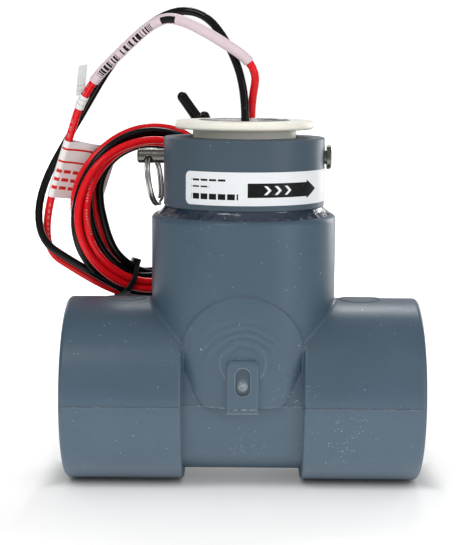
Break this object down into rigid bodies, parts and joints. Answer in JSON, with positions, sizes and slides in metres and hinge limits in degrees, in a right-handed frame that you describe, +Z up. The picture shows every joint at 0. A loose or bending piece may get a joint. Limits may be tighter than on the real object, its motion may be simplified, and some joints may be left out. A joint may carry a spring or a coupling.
{
  "type": "irrigation flow sensor",
  "caption": "Grey PVC pipe tee with a plug-in impeller flow sensor held by a clevis pin and split ring, with coiled red and black leads",
  "frame": {"origin": "under the branch axis, on the surface that the two run hubs stand on", "axes": "+X is the flow direction along the run, +Z is up along the branch, +Y is the back, where the lead coil lies"},
  "size_m": [0.1575, 0.097, 0.1879],
  "materials": {
    "grey_pvc": "moulded PVC, low sheen, blue grey",
    "cement": "set solvent cement, glossy",
    "housing_plastic": "off-white moulded plastic, satin",
    "seal_rubber": "black seal rubber",
    "ferrite": "dark grey ferrite",
    "bobbin_nylon": "natural nylon",
    "copper": "enamelled copper",
    "board_laminate": "green circuit laminate",
    "component_black": "moulded black packages",
    "potting_grey": "grey epoxy, slightly glossy",
    "shaft_steel": "ground bright",
    "impeller_nylon": "dark glass-filled nylon",
    "bush_plastic": "white bearing plastic",
    "pin_steel": "turned stainless steel",
    "ring_steel": "stainless spring wire",
    "label_white": "printed film, satin",
    "black_insulation": "black wire insulation, glossy",
    "red_insulation": "red wire insulation, glossy",
    "tie_nylon": "black nylon",
    "cap_vinyl": "dipped black vinyl, glossy",
    "sleeve_pink": "pale heat-shrink film over red"
  },
  "bodies": {
    "tee": {"tee_body": "grey_pvc", "sensor_sleeve": "grey_pvc", "cement_bead": "cement", "sensor_housing": "housing_plastic", "o_rings": "seal_rubber", "ferrite_core": "ferrite", "coil_bobbin": "bobbin_nylon", "sensing_winding": "copper", "circuit_board": "board_laminate", "board_components": "component_black", "lead_tails": "copper", "potting": "potting_grey", "impeller_shaft": "shaft_steel", "flow_label": "label_white", "black_lead": "black_insulation", "red_lead": "red_insulation", "lead_coil": "black_insulation", "cable_tie": "tie_nylon", "black_lead_end": "black_insulation", "red_lead_end": "red_insulation", "black_lead_cap": "cap_vinyl", "red_lead_cap": "cap_vinyl", "marker_sleeve": "sleeve_pink", "small_flag_label": "label_white", "large_flag_label": "label_white"},
    "clevis_pin": {"clevis_pin": "pin_steel"},
    "split_ring": {"split_ring": "ring_steel"},
    "impeller": {"impeller": "impeller_nylon", "impeller_bushes": "bush_plastic"}
  },
  "joints": [
    {"name": "impeller_spin", "type": "hinge", "parent": "tee", "child": "impeller", "pos_m": [0, 0, 0.051], "axis": [0, 1, 0], "continuous": true},
    {"name": "pin_slide", "type": "slide", "parent": "tee", "child": "clevis_pin", "axis": [1, 0, 0], "range_m": [-0.0006, 0.0012]},
    {"name": "ring_swing", "type": "hinge", "parent": "clevis_pin", "child": "split_ring", "pos_m": [-0.0376, 0, 0.1296], "axis": [0, 0.809, 0.5878], "range_deg": [-1, 190]}
  ]
}
